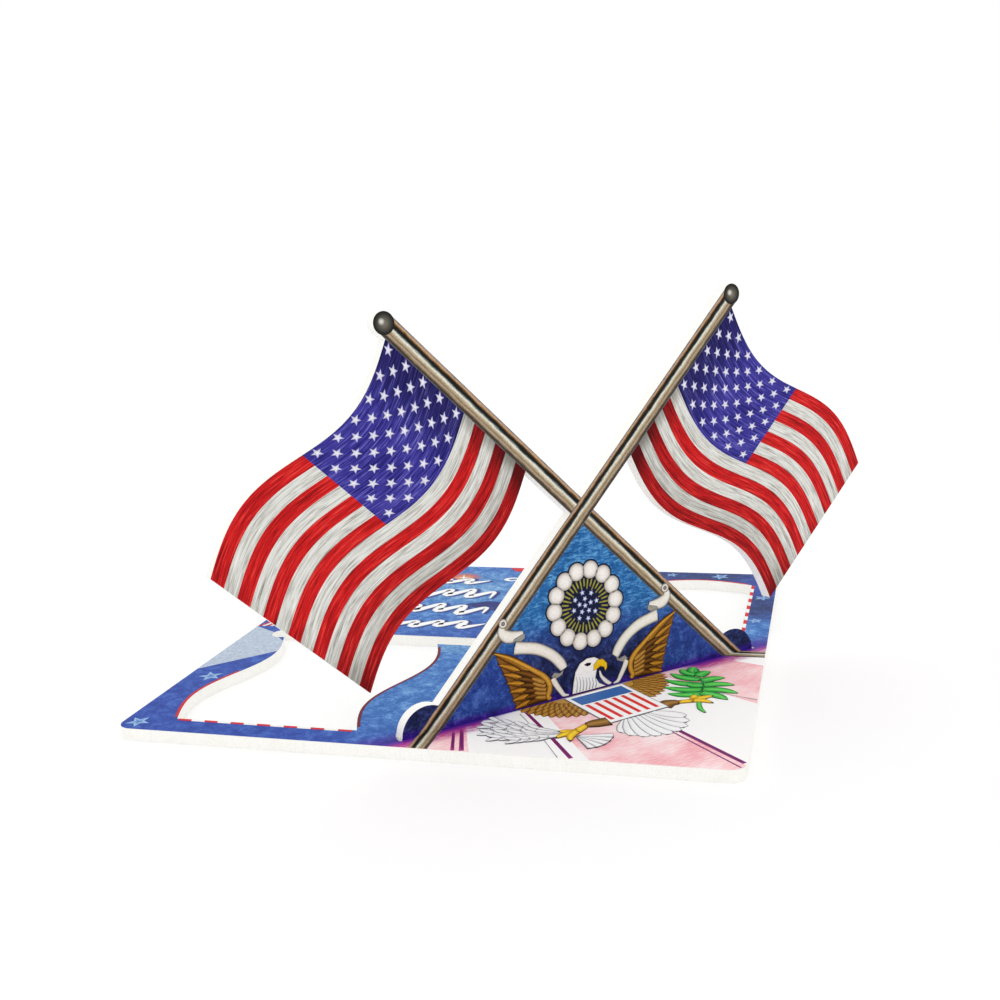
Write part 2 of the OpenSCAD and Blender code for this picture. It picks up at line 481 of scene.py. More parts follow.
    # Magenta fades into the corner below the crease's two ends
    outer_end = node(tree, "ShaderNodeMapRange", {0: ends, 1: 24.0, 2: 34.0}, **SMOOTH)
    magenta = node(tree, "ShaderNodeMapRange", {0: below, 1: 9.0, 2: 2.0}, **SMOOTH)
    bleed = node(tree, "ShaderNodeMath", {0: outer_end, 1: magenta}, operation="MULTIPLY")
    bleed = node(tree, "ShaderNodeMath", {0: bleed, 1: hatch}, operation="MULTIPLY")
    bleed = node(tree, "ShaderNodeMapRange", {0: bleed, 1: 0.12, 2: 0.55}, **SMOOTH)
    close = node(tree, "ShaderNodeMapRange", {0: below, 1: 3.4, 2: 0.6}, **SMOOTH)
    purple = node(tree, "ShaderNodeMath", {0: outer_end, 1: close}, operation="MULTIPLY")
    rim = node(tree, "ShaderNodeMapRange", {0: below, 1: 1.1, 2: 0.1}, **SMOOTH)
    for share, ink in [(bleed, "#B43A8E"), (purple, "#6A2290"), (rim, "#4A2A96")]:
        corner = node(tree, "ShaderNodeMix", {0: share, 6: corner, 7: rgb(ink)}, **COLOURS)
    in_front = node(tree, "ShaderNodeMath", {0: below, 1: 0.0}, operation="GREATER_THAN")
    colour = node(tree, "ShaderNodeMix", {0: in_front, 6: colour, 7: corner}, **COLOURS)
    colour = sheet_edge(tree, colour, (0.0, 0.0, 1.0))
    return finished(mat, tree, shader, colour, paper_tooth(tree, where))


def panel_print():
    """The same coated print on the panel: azure pencil mottle at the top of the emblem field,
    which deepens to navy and then turns violet along the crease."""
    mat, tree, shader = new_material("coated_panel_print", 0.42)
    where = millimetres(tree)
    grain = pencil_grain(tree, where, 1.3, 0.35)
    strokes_at = millimetres(tree, Rotation=(0.0, math.radians(35), 0.0),
                             Scale=(0.5 / MM, 1 / MM, 2.0 / MM))
    strokes = node(tree, "ShaderNodeTexNoise",
                   {"Vector": strokes_at, "Scale": 1.0, "Detail": 4.0, "Distortion": 0.7})
    lively = node(tree, "ShaderNodeMix", {0: 0.45, 6: grain, 7: strokes}, **COLOURS)
    azure, blue, navy, violet = [
        node(tree, "ShaderNodeValToRGB", {0: mottle}, list(zip((0.37, 0.5, 0.63), codes)))
        for mottle, codes in [(lively, ("#174276", "#2A68A6", "#66A6D6")),
                              (grain, ("#1C2F70", "#2A4490", "#4C6CB4")),
                              (grain, ("#10142E", "#1C2450", "#38447A")),
                              (grain, ("#20125E", "#301C80", "#5434A2"))]]
    split = node(tree, "ShaderNodeSeparateXYZ", {0: where})
    height = node(tree, "ShaderNodeMath", {0: split.outputs[2], 1: HINGE.z / MM}, operation="SUBTRACT")
    sway = node(tree, "ShaderNodeTexNoise", {"Vector": where, "Scale": 0.12, "Detail": 3.0})
    sway = node(tree, "ShaderNodeMath", {0: sway, 1: 8.0, 2: -4.0}, operation="MULTIPLY_ADD")
    level = node(tree, "ShaderNodeMath", {0: height, 1: sway}, operation="ADD")
    out = node(tree, "ShaderNodeMath", {0: split.outputs[0]}, operation="ABSOLUTE")
    top = node(tree, "ShaderNodeMapRange", {0: level, 1: 12.0, 2: 24.0}, **SMOOTH)
    inner = node(tree, "ShaderNodeMapRange", {0: out, 1: 24.0, 2: 15.0}, **SMOOTH)
    under = node(tree, "ShaderNodeMapRange", {0: level, 1: 19.0, 2: 9.0}, **SMOOTH)
    middle = node(tree, "ShaderNodeMath", {0: inner, 1: under}, operation="MULTIPLY")
    lobes = node(tree, "ShaderNodeMapRange", {0: out, 1: 39.0, 2: 45.0}, **SMOOTH)
    low = node(tree, "ShaderNodeMapRange", {0: height, 1: 2.6, 2: 0.6}, **SMOOTH)
    colour = blue
    for share, ink in [(top, azure), (middle, navy), (lobes, navy), (low, violet)]:
        colour = node(tree, "ShaderNodeMix", {0: share, 6: colour, 7: ink}, **COLOURS)
    colour = sheet_edge(tree, colour, (0.0, -math.sin(RAISED), math.cos(RAISED)))
    return finished(mat, tree, shader, colour, paper_tooth(tree, where))


def flag_ink(name, stops, shadow, shade_from):
    """Printed flag colour: brush strands of about 0.4 mm that run along the fly and follow the
    wave, a little dry in places, darker near the pole, at the free end and low on the flag."""
    mat, tree, shader = new_material(name, 0.45)
    art = node(tree, "ShaderNodeUVMap", uv_map="art")
    u, v = node(tree, "ShaderNodeSeparateXYZ", {0: art}).outputs[:2]
    thick = node(tree, "ShaderNodeMapping", {"Vector": art, "Scale": (0.12, 1.9, 1.0)})
    thin = node(tree, "ShaderNodeMapping", {"Vector": art, "Scale": (0.2, 4.2, 1.0)})
    broad = node(tree, "ShaderNodeTexNoise",
                 {"Vector": thick, "Scale": 1.0, "Detail": 3.0, "Distortion": 0.9})
    hairs = node(tree, "ShaderNodeTexNoise",
                 {"Vector": thin, "Scale": 1.0, "Detail": 5.0, "Roughness": 0.7, "Distortion": 0.8})
    strand = node(tree, "ShaderNodeMath", {0: broad, 1: hairs}, operation="ADD")
    strand = node(tree, "ShaderNodeMath", {0: strand, 1: 0.5}, operation="MULTIPLY")
    paint = node(tree, "ShaderNodeValToRGB", {0: strand}, stops)
    # Shade by the pole, at the free end, and in the flag's lowest stripes
    by_pole = node(tree, "ShaderNodeMapRange", {0: u, 1: shade_from, 2: 0.0}, **SMOOTH)
    by_end = node(tree, "ShaderNodeMapRange", {0: u, 1: FLY - 9.0, 2: FLY + 3.0}, **SMOOTH)
    low = node(tree, "ShaderNodeMapRange", {0: v, 1: 0.42 * HOIST, 2: 0.0}, **SMOOTH)
    low_end = node(tree, "ShaderNodeMath", {0: by_end, 1: low}, operation="MULTIPLY")
    dark = 0.0
    for share, depth in [(by_pole, 0.78), (low, 0.42), (low_end, 0.3), (by_end, 0.25)]:
        dark = node(tree, "ShaderNodeMath", {0: share, 1: depth, 2: dark}, operation="MULTIPLY_ADD")
    rough = node(tree, "ShaderNodeMath", {0: strand, 1: 1.3, 2: -0.62}, operation="MULTIPLY_ADD")
    dark = node(tree, "ShaderNodeMath", {0: dark, 1: rough}, operation="SUBTRACT", use_clamp=True)
    colour = node(tree, "ShaderNodeMix", {0: dark, 6: paint, 7: rgb(shadow)}, **COLOURS)
    bump = node(tree, "ShaderNodeBump", {"Height": strand, "Strength": 0.3, "Distance": 0.03 * MM})
    return finished(mat, tree, shader, colour, bump)


def pole_ink():
    """Printed metal-and-wood pole: from the flag's side outwards, bands of brown, tan, a cream
    highlight, near black and tan again, each broken by long streaks and pencil speckle."""
    mat, tree, shader = new_material("printed_pole_ink", 0.42)
    art = node(tree, "ShaderNodeUVMap", uv_map="art")
    streaks = node(tree, "ShaderNodeMapping", {"Vector": art, "Scale": (2.2, 0.22, 1.0)})
    wander = node(tree, "ShaderNodeTexNoise",
                  {"Vector": streaks, "Scale": 1.0, "Detail": 4.0, "Roughness": 0.7})
    shift = node(tree, "ShaderNodeMath", {0: wander, 1: 0.2, 2: -0.1}, operation="MULTIPLY_ADD")
    split = node(tree, "ShaderNodeSeparateXYZ", {0: art})
    across = node(tree, "ShaderNodeMath", {0: split, 1: 0.5, 2: 0.5}, operation="MULTIPLY_ADD")
    across = node(tree, "ShaderNodeMath", {0: across, 1: shift}, operation="ADD")
    bands = node(tree, "ShaderNodeValToRGB", {0: across},
                 [(0.0, "#6E7078"), (0.05, "#4A4640"), (0.11, "#403428"), (0.18, "#8A7862"),
                  (0.25, "#BCAA94"), (0.32, "#8C7654"), (0.4, "#B8A88C"), (0.47, "#D8CEB8"),
                  (0.53, "#F6F4E8"), (0.59, "#8E9690"), (0.64, "#1E2C30"), (0.74, "#18150F"),
                  (0.81, "#5A4028"), (0.88, "#CFA67C"), (0.95, "#A89890"), (1.0, "#5A5A60")])
    fine = node(tree, "ShaderNodeMapping", {"Vector": art, "Scale": (3.0, 1.4, 1.0)})
    speck = node(tree, "ShaderNodeTexNoise",
                 {"Vector": fine, "Scale": 1.5, "Detail": 4.0, "Roughness": 0.8})
    tone = node(tree, "ShaderNodeValToRGB", {0: speck},
                [(0.35, "#A8A29A"), (0.5, "#E8E4DE"), (0.65, "#FFFFFF")])
    colour = node(tree, "ShaderNodeMix", {0: 0.6, 6: bands, 7: tone}, **TINTS)
    return finished(mat, tree, shader, colour, paper_tooth(tree, art))


def drawn_ink(name, stops, grain):
    """Printed pencil drawing: the colour runs from the first stop in the middle of each drawn
    shape to the last stop on its outline, and is broken by pencil grain of about 0.3 mm."""
    mat, tree, shader = new_material(name, 0.42)
    split = node(tree, "ShaderNodeSeparateXYZ", {0: node(tree, "ShaderNodeUVMap", uv_map="art")})
    where = millimetres(tree)
    mottle = node(tree, "ShaderNodeTexNoise",
                  {"Vector": where, "Scale": 1.7, "Detail": 4.0, "Roughness": 0.7})
    stray = node(tree, "ShaderNodeMath", {0: mottle, 1: grain, 2: -grain / 2}, operation="MULTIPLY_ADD")
    rim = node(tree, "ShaderNodeMath", {0: split, 1: stray}, operation="ADD")
    paint = node(tree, "ShaderNodeValToRGB", {0: rim}, stops)
    tone = node(tree, "ShaderNodeValToRGB", {0: mottle},
                [(0.3, "#C4C0BC"), (0.5, "#F0EEEC"), (0.7, "#FFFFFF")])
    colour = node(tree, "ShaderNodeMix", {0: min(1.0, 3 * grain), 6: paint, 7: tone}, **TINTS)
    return finished(mat, tree, shader, colour, paper_tooth(tree, where))


# The rays on the card's front corner spread from one place above the crease
RAY_X, RAY_RISE, RAY_STEP = 2.0, 80.0, 12.8

FLAG_PAINTS = {
    # Warm signal red with dark maroon between the strands
    "flag_red": ([(0.36, "#6E0A0C"), (0.45, "#B01518"), (0.54, "#D01E20"), (0.66, "#E64A42")],
                 "#52060A", 9.0),
    # Bare paper with grey dry-brush strands
    "flag_white": ([(0.36, "#85837C"), (0.44, "#BDBBB4"), (0.53, "#D9D9D3"), (0.66, "#ECECE8")],
                   "#7E7C74", 4.0),
    # Violet-blue that darkens to ink by the pole
    "flag_blue": ([(0.35, "#14114A"), (0.44, "#2A2578"), (0.54, "#443E9C"), (0.66, "#7C79C2")],
                  "#100E36", 17.0),
}

DRAWN_PAINTS = {
    # Bright bare paper in the flag's stars, softened at their tips
    "star_white": ([(0.0, "#F4F4F6"), (0.55, "#DCDCEC"), (1.0, "#8280BC")], 0.2),
    # Off-white beads, each with a grey shade and a thin dark line round it
    "bead_white": ([(0.0, "#FAF8F4"), (0.6, "#EEEAE4"), (0.86, "#C9C4BC"), (1.0, "#9A968E")], 0.14),
    "outline": ([(0.0, "#14183A"), (1.0, "#14183A")], 0.1),
    "disc_navy": ([(0.0, "#141B3C"), (0.8, "#161C3A"), (1.0, "#0E1228")], 0.2),
    "ray_olive": ([(0.0, "#B4AE4A"), (0.6, "#8A8636"), (1.0, "#3C3E22")], 0.2),
    "dot_white": ([(0.0, "#F4F6FC"), (0.55, "#C0C8E4"), (1.0, "#46508A")], 0.1),
    # Ribbon of bare paper with grey turns
    "ribbon": ([(0.0, "#F5F2EA"), (0.62, "#E8E3D8"), (0.86, "#A29E98"), (1.0, "#2A2C40")], 0.12),
    "ribbon_back": ([(0.0, "#9C9A94"), (0.6, "#7E7C7A"), (1.0, "#2A2C40")], 0.16),
    # Feathers in ochre, with brown webs and near-black outlines
    "feather": ([(0.0, "#D89C34"), (0.35, "#A8701F"), (0.72, "#6A4216"), (1.0, "#22160C")], 0.3),
    "feather_down": ([(0.0, "#D2A04E"), (0.45, "#AC7A32"), (0.8, "#7E541E"), (1.0, "#4E3212")], 0.3),
    "feather_dark": ([(0.0, "#8A5A20"), (0.4, "#653F17"), (0.8, "#41280F"), (1.0, "#1A1008")], 0.3),
    "feather_gold": ([(0.0, "#E0AC48"), (0.6, "#C48A2C"), (1.0, "#5A3A14")], 0.3),
    "head_white": ([(0.0, "#FAF9F6"), (0.6, "#ECEAE4"), (0.9, "#B6B2AA"), (1.0, "#3C3C48")], 0.12),
    "beak": ([(0.0, "#F2C81E"), (0.5, "#D9A416"), (1.0, "#6A4A10")], 0.2),
    "eye": ([(0.0, "#17150F"), (1.0, "#3A342A")], 0.1),
    "shield_white": ([(0.0, "#FFFFFF"), (1.0, "#F4F4F4")], 0.06),
    "shield_blue": ([(0.0, "#3C6EB6"), (0.7, "#3568AE"), (1.0, "#2C5AA0")], 0.16),
    "shield_red": ([(0.0, "#E63030"), (0.7, "#E4453F"), (1.0, "#F08A84")], 0.16),
    "leaf": ([(0.0, "#74E266"), (0.5, "#46C84C"), (0.82, "#2A9A3C"), (1.0, "#174A20")], 0.2),
    "stem": ([(0.0, "#4CC06A"), (0.6, "#2F9A4C"), (1.0, "#173A2C")], 0.2),
    "claw": ([(0.0, "#FFE640"), (0.6, "#F2C02A"), (0.88, "#CC9A2C"), (1.0, "#7E6020")], 0.2),
    "thigh": ([(0.0, "#B98C4C"), (0.5, "#94682C"), (1.0, "#4A3216")], 0.26),
    # Arrow feathers in pencil grey on bare paper
    "quill": ([(0.0, "#FFFFFF"), (0.6, "#F0F1F3"), (0.85, "#A2A6AC"), (1.0, "#4C4E58")], 0.16),
    "quill_grey": ([(0.0, "#C9CCD0"), (0.5, "#A2A6AA"), (1.0, "#46484E")], 0.2),
    "tail_white": ([(0.0, "#FFFFFF"), (0.75, "#F4F5F6"), (0.92, "#A8ACB0"), (1.0, "#4A4C52")], 0.1),
    "ray_purple": ([(0.0, "#6E1E62"), (0.7, "#82286E"), (1.0, "#A8488C")], 0.16),
    "trim_red": ([(0.0, "#D8232A"), (1.0, "#C22A30")], 0.2),
    "trim_maroon": ([(0.0, "#7A1424"), (1.0, "#661226")], 0.2),
    "trim_white": ([(0.0, "#F6F4F0"), (1.0, "#E6E2DC")], 0.1),
    # Pale blue speckled paper on the card's left corner
    "pale_blue": ([(0.0, "#BCCCE0"), (0.3, "#D2DEEC"), (0.6, "#E6EDF5")], 0.9),
    "star_azure": ([(0.0, "#4A72B8"), (0.5, "#7CA6DC"), (0.9, "#A8CCF0"), (1.0, "#6A98D4")], 0.3),
    "swirl_white": ([(0.0, "#FFFFFF"), (0.7, "#F6F7F9"), (0.9, "#B4BCCA"), (1.0, "#26386E")], 0.14),
    "swirl_navy": ([(0.0, "#22307A"), (0.7, "#2A3E8C"), (1.0, "#3A5CA8")], 0.3),
    "glow_orange": ([(0.0, "#F6B27A"), (0.45, "#DE7A4A"), (0.8, "#9A7AA0"), (1.0, "#6A8EC4")], 0.3),
    "finial": ([(0.0, "#8E8A80"), (0.45, "#5E5B52"), (0.8, "#33322E"), (1.0, "#1C1C1C")], 0.3),
    "finial_light": ([(0.0, "#F2F2EE"), (0.6, "#B8B6AE"), (1.0, "#6E6C64")], 0.2),
    "crease_violet": ([(0.0, "#3C2090"), (1.0, "#3C2090")], 0.3),
}

PAINTS = {}
for name, (stops, shadow, shade_from) in FLAG_PAINTS.items():
    PAINTS[name] = flag_ink("printed_" + name, stops, shadow, shade_from)
for name, (stops, grain) in DRAWN_PAINTS.items():
    PAINTS[name] = drawn_ink("printed_" + name, stops, grain)
PAINTS["pole"] = pole_ink()


def finish_board():
    """Gives the frame's own nodes their finishes."""
    core, liner = foam_board_core(), uncoated_liner()
    finishes = {"base_core": core, "panel_core": core, "base_liner": liner, "panel_liner": liner,
                "base_print": card_print(), "panel_print": panel_print(),
                "crease_hinge": PAINTS["crease_violet"]}
    for name, material in finishes.items():
        mesh = frame["nodes"][name].data
        mesh.materials.clear()
        mesh.materials.append(material)


# ---------------------------------------------------------------- the flags and poles

def new_tree(name, inputs):
    """A Geometry Nodes tree and the outputs of its group input, the last of which is its paint."""
    tree = bpy.data.node_groups.new(name, "GeometryNodeTree")
    face = tree.interface
    face.new_socket("Geometry", in_out="OUTPUT", socket_type="NodeSocketGeometry")
    for socket, kind in {**inputs, "Paint": "Material"}.items():
        face.new_socket(socket, in_out="INPUT", socket_type="NodeSocket" + kind)
    return tree, node(tree, "NodeGroupInput").outputs


def placed_shapes(tree, points, shape, turn, paint):
    """Ends the tree with the shape on every point, painted."""
    placed = node(tree, "GeometryNodeInstanceOnPoints",
                  {"Points": points, "Instance": shape, "Rotation": turn})
    real = node(tree, "GeometryNodeRealizeInstances", {0: placed})
    coated = node(tree, "GeometryNodeSetMaterial", {"Geometry": real, "Material": paint})
    node(tree, "NodeGroupOutput", {0: coated})
    return tree


def star_tree():
    """Geometry Nodes: stars on a grid with every second place left out."""
    tree, given = new_tree("canton_stars", {"Columns": "Int", "Rows": "Int", "Width": "Float",
                                            "Height": "Float", "Star Size": "Float"})
    spots = node(tree, "GeometryNodeMeshGrid",
                 {"Size X": given["Width"], "Size Y": given["Height"],
                  "Vertices X": given["Columns"], "Vertices Y": given["Rows"]})
    index = node(tree, "GeometryNodeInputIndex")
    odd = node(tree, "ShaderNodeMath", {0: index, 1: 2.0}, operation="MODULO")
    skip = node(tree, "FunctionNodeCompare", {0: odd, 1: 0.5}, operation="GREATER_THAN")
    kept = node(tree, "GeometryNodeDeleteGeometry",
                {"Geometry": spots, "Selection": skip}, domain="POINT")
    inner = node(tree, "ShaderNodeMath", {0: given["Star Size"], 1: 0.42}, operation="MULTIPLY")
    shape = node(tree, "GeometryNodeCurveStar",
                 {"Points": 5, "Inner Radius": inner, "Outer Radius": given["Star Size"]})
    filled = node(tree, "GeometryNodeFillCurve", {0: shape}, mode="NGONS")
    upright = (0.0, 0.0, math.radians(90))
    return placed_shapes(tree, kept, filled, upright, given["Paint"])


def grown(tree, values):
    """The plain mesh that a Geometry Nodes tree makes from its named inputs' values."""
    holder = added("holder", bpy.data.meshes.new("holder"))
    modifier = holder.modifiers.new("tree", "NODES")
    modifier.node_group = tree
    for item in tree.interface.items_tree:
        if item.item_type == "SOCKET" and item.in_out == "INPUT" and item.name in values:
            modifier[item.identifier] = values[item.name]
    holder.update_tag()
    graph = bpy.context.evaluated_depsgraph_get()
    mesh = bpy.data.meshes.new_from_object(holder.evaluated_get(graph))
    holder.modifiers.remove(modifier)
    bpy.data.objects.remove(holder)
    return mesh


def as_patch(mesh, rim):
    """The mesh's flat faces as one patch, with each face's points fanned from its centre."""
    points, faces, paint = [], [], []
    for polygon in mesh.polygons:
        corners = [mesh.vertices[k].co.to_2d() for k in polygon.vertices]
        centre = sum(corners, Vector((0.0, 0.0))) / len(corners)
        first = len(points)
        points += [centre] + corners
        paint += [(0.0, 0.0)] + [(rim, 0.0)] * len(corners)
        n = len(corners)
        faces += [(first, first + 1 + i, first + 1 + (i + 1) % n) for i in range(n)]
    return Patch(points, faces, paint)


def flags():
    """Each flag's stripes and canton follow its waving edges. A star field lies on the canton."""
    columns = 56
    stars_mesh = grown(star_tree(), {
        "Columns": 11, "Rows": 9, "Width": CANTON_FLY - 3.7, "Height": 7 * STRIPE - 3.5,
        "Star Size": 1.36, "Paint": PAINTS["star_white"]})
    for side, name in [(1, "right_flag"), (-1, "left_flag")]:
        def place(u, v, side=side):
            return arm(side, *waved(u + POLE_W / 2, v + DROP))
        items = []
        canton_columns = round(columns * CANTON_FLY / FLY)
        for i in range(STRIPES):
            low, high = i * STRIPE, (i + 1) * STRIPE
            start = CANTON_FLY if low >= CANTON_V - 0.01 else 0.0
            paint = "flag_white" if i % 2 else "flag_red"
            count = columns - canton_columns if start else columns
            items.append((grid(place, (start, FLY), (low, high), count, 1), paint))
        canton = grid(place, (0.0, CANTON_FLY), (CANTON_V, HOIST), canton_columns, 6)
        items.append((canton, "flag_blue"))
        middle_u, middle_v = CANTON_FLY / 2 - 0.55, (CANTON_V + HOIST) / 2 + 0.3

        def star_place(x, y, place=place):
            return place(middle_u + x, middle_v + y)
        items.append((moved(as_patch(stars_mesh, 0.9), star_place), "star_white"))
        draw(name, PANEL, items)


def pole_strip(side, low, high, skew_low, skew_high):
    """A length of a pole's print, from low to high along the pole. A skewed end follows the crease
    or the diagonal that it is cut along."""
    half = POLE_W / 2

    def along(w, share):
        a, b = low + skew_low * w, high + skew_high * w
        return a + (b - a) * share
    return grid(lambda w, share: arm(side, w, along(w, share)), (-half, half), (0.0, 1.0), 6, 12,
                paint=lambda w, share: (-w / half, along(w, share) + GRAIN_SHIFT * side))


def poles():
    """The two poles with their ball finials. The right one passes in front at the crossing, and
    both run on over the crease to the card's edges."""
    short = CORE_END * math.sqrt(2)
    edge = CARD_W / 2 + CROSS[1] / math.sqrt(2)
    for side, name in [(-1, "left_pole"), (1, "right_pole")]:
        items = [(pole_strip(side, -FOOT + short, POLE_UP, 1, 0), "pole")]
        tip = arm(side, 0, POLE_UP)
        items.append((disc(tip, FINIAL_D / 2 - 0.02), "finial"))
        shine = (tip[0] - 0.55, tip[1] + 0.35)
        items.append((disc(shine, 0.8, 16), "finial_light"))
        draw(name, PANEL, items)
        foot = pole_strip(side, -edge + 0.05, -FOOT - short, 0, 1)
        draw(name + "_foot", BASE, [(foot, "pole")])


# ---------------------------------------------------------------- the emblem

def each_side(points, side):
    return [emblem(side * x, h) for x, h in points]


def feather(side, root, tip, width, paint, bend=0.0):
    """A pointed feather from root to tip, given on the emblem's right side."""
    (ax, ah), (bx, bh) = root, tip
    middle = ((ax + bx) / 2 - (bh - ah) * bend, (ah + bh) / 2 + (bx - ax) * bend)
    line = each_side([root, middle, tip], side)
    return strip(line, [width * 0.7, width, width * 0.85, width * 0.1], 5), paint


def ring_tree():
    """Geometry Nodes: round beads or radial bars, evenly spaced round a circle."""
    tree, given = new_tree("ring_of_shapes", {"Count": "Int", "Ring Radius": "Float", "Bead Radius": "Float",
                                              "Bar Length": "Float", "Bar Width": "Float", "Bars": "Bool"})
    ring = node(tree, "GeometryNodeMeshCircle",
                {"Vertices": given["Count"], "Radius": given["Ring Radius"]})
    bead = node(tree, "GeometryNodeMeshCircle", {"Vertices": 20, "Radius": given["Bead Radius"]},
                fill_type="NGON")
    bar = node(tree, "GeometryNodeMeshGrid", {"Size X": given["Bar Length"],
                                              "Size Y": given["Bar Width"],
                                              "Vertices X": 2, "Vertices Y": 2})
    shape = node(tree, "GeometryNodeSwitch", {"Switch": given["Bars"], "False": bead,
                                              "True": bar}, input_type="GEOMETRY")
    place = node(tree, "GeometryNodeInputPosition")
    turn = node(tree, "FunctionNodeAlignRotationToVector", {"Vector": place}, axis="X")
    return placed_shapes(tree, ring, shape, turn, given["Paint"])


ROSETTE = (-0.5, 22.5)      # centre of the bead ring, on the emblem's height above the crease
BEADS, BEAD_RING, BEAD_R = 14, 9.05, 2.25


def rosette():
    """A ring of beads round a dark disc with olive rays and small stars."""
    tree = ring_tree()
    centre = emblem(*ROSETTE)

    def place(x, y):
        return centre[0] + x, centre[1] + y
    rest = {"Bead Radius": 1.0, "Bar Length": 1.0, "Bar Width": 1.0}
    beads = grown(tree, {**rest, "Count": BEADS, "Ring Radius": BEAD_RING, "Bead Radius": BEAD_R,
                         "Bars": False, "Paint": PAINTS["bead_white"]})
    shade = grown(tree, {**rest, "Count": BEADS, "Ring Radius": BEAD_RING,
                         "Bead Radius": BEAD_R + 0.4, "Bars": False, "Paint": PAINTS["outline"]})
    items = [(moved(as_patch(shade, 1.0), place), "outline"),
             (disc(centre, 8.2, 48), "disc_navy")]
    for count, ring, length, width in [(36, 5.9, 2.1, 0.46), (18, 4.6, 0.9, 0.34)]:
        rays = grown(tree, {**rest, "Count": count, "Ring Radius": ring, "Bar Length": length,
                            "Bar Width": width, "Bars": True, "Paint": PAINTS["ray_olive"]})
        items.append((moved(as_patch(rays, 0.8), place), "ray_olive"))
    for count, ring in [(1, 0.0), (5, 1.75), (8, 3.45)]:
        for i in range(count):
            a = 2 * math.pi * (i + 0.25) / count
            spot = place(ring * math.cos(a), ring * math.sin(a))
            items.append((star(spot, 0.85, 90 + 40 * i, 0.55), "dot_white"))
    items.append((moved(as_patch(beads, 1.0), place), "bead_white"))
    draw("bead_rosette", PANEL, items)


def ribbons():
    """Two blank paper ribbons that fall from the poles, each with a curl, a long arc and a tail."""
    for side, name in [(-1, "left_ribbon"), (1, "right_ribbon")]:
        curl = each_side([(24.4, 22.0), (24.6, 20.4), (23.2, 19.1), (21.0, 18.7), (18.7, 18.9)], side)
        turn = each_side([(18.4, 19.1), (18.3, 17.8), (19.6, 17.0), (21.9, 17.4), (21.4, 18.2)], side)
        arc = each_side([(21.5, 15.9), (19.0, 15.4), (15.5, 14.5), (12.6, 13.0), (10.4, 11.3),
                         (8.7, 9.3), (7.7, 7.6)], side)
        twist = each_side([(7.9, 7.5), (9.0, 6.8), (10.7, 7.3), (11.6, 6.3), (10.3, 5.5),
                           (8.3, 6.3)], side)
        tail = each_side([(11.3, 5.9), (10.3, 4.0), (9.1, 2.1), (8.2, 0.9), (6.8, 0.5)], side)
        roll = emblem(side * 24.1, 22.5)
        items = [(strip(curl, [1.4, 2.6, 3.4, 3.0, 1.8], 6, (0.0, 0.3)), "ribbon"),
                 (fill(turn, 0.25), "ribbon_back"),
                 (disc(roll, 1.25, 20), "ribbon"), (disc(roll, 0.55, 14), "ribbon_back"),
                 (fill(twist, 0.22), "ribbon_back"),
                 (strip(tail, [1.9, 1.6, 1.4, 1.1, 0.5], 6), "ribbon"),
                 (strip(arc, [3.5, 3.2, 3.2, 3.0, 3.0, 3.0, 2.3], 6, (0.35, 0.3)), "ribbon")]
        draw(name, PANEL, items)


def wings():
    """Raised wings: long flight feathers, darker coverts over their roots, and a gold front edge."""
    for side, name in [(-1, "left_wing"), (1, "right_wing")]:
        tips = [(22.6, 0.6), (23.2, 2.8), (23.8, 5.2), (24.5, 7.6), (25.3, 10.1), (26.4, 12.8),
                (27.6, 16.0)]
        count = len(tips)
        items = [(fill(each_side([(13.2, 0.5), (22.0, 0.5), (24.2, 8.0), (26.8, 14.8), (19.5, 11.4),
                                  (13.0, 6.6)], side), 0.3), "feather_dark")]
        for i, tip in enumerate(tips):
            root = (13.6 + 0.25 * i, 1.6 + 0.85 * i)
            items.append(feather(side, root, tip, 2.5, "feather", 0.05))
        for i, tip in enumerate(tips[:-1]):
            ax, ah = 13.4 + 0.2 * i, 1.5 + 0.85 * i
            end = (ax + (tip[0] - ax) * 0.62, ah + (tip[1] - ah) * 0.6)
            items.append(feather(side, (ax - 0.6, ah), end, 2.0, "feather_dark", 0.05))
        for i in range(count - 2):
            ax, ah = 12.9 + 0.15 * i, 1.6 + 0.95 * i
            end = (ax + 3.8, ah + 0.5 + 0.35 * i)
            items.append(feather(side, (ax, ah), end, 1.7, "feather_down"))
        edge = each_side([(27.3, 15.7), (23.6, 14.0), (20.0, 11.7), (16.4, 9.1), (13.9, 7.2),
                          (12.5, 5.3), (12.3, 3.4), (12.9, 1.7), (12.2, 0.7)], side)
        items.append((strip(edge, [0.3, 0.8, 1.1, 1.3, 1.5, 1.6, 1.6, 1.5, 1.2], 5), "feather_gold"))
        draw(name, PANEL, items)
        # The wing's shoulder lies in front of the crease, with two rows of small feathers
        rim = [(21.4, -0.9), (20.3, -3.6), (18.9, -6.3), (17.1, -8.4), (14.9, -10.2), (12.2, -11.7),
               (9.3, -12.4)]
        shoulder = [(12.4, -0.4), (22.0, -0.4), *rim, (8.0, -12.4), (8.0, -1.0)]
        items = [(fill(each_side(shoulder, side), 0.3), "feather_down")]
        for row, inset in enumerate([0.0, 0.2, 0.4, 0.58]):
            length, count = 3.2 - 0.2 * row, 9 - row
            for i in range(count):
                where = (i + 0.5) / count * (len(rim) - 1)
                k = int(where)
                x = rim[k][0] + (rim[k + 1][0] - rim[k][0]) * (where - k)
                h = rim[k][1] + (rim[k + 1][1] - rim[k][1]) * (where - k)
                x, h = x + (9.0 - x) * inset, h + (-1.5 - h) * inset
                reach = math.radians(-25 - 45 * where / len(rim))
                root = (x - length * 0.75 * math.cos(reach), h - length * 0.75 * math.sin(reach))
                tip = (x + length * 0.3 * math.cos(reach), h + length * 0.3 * math.sin(reach))
                items.append(feather(side, root, tip, 2.2, "feather_down"))
        draw(name + "_shoulder", BASE, items)


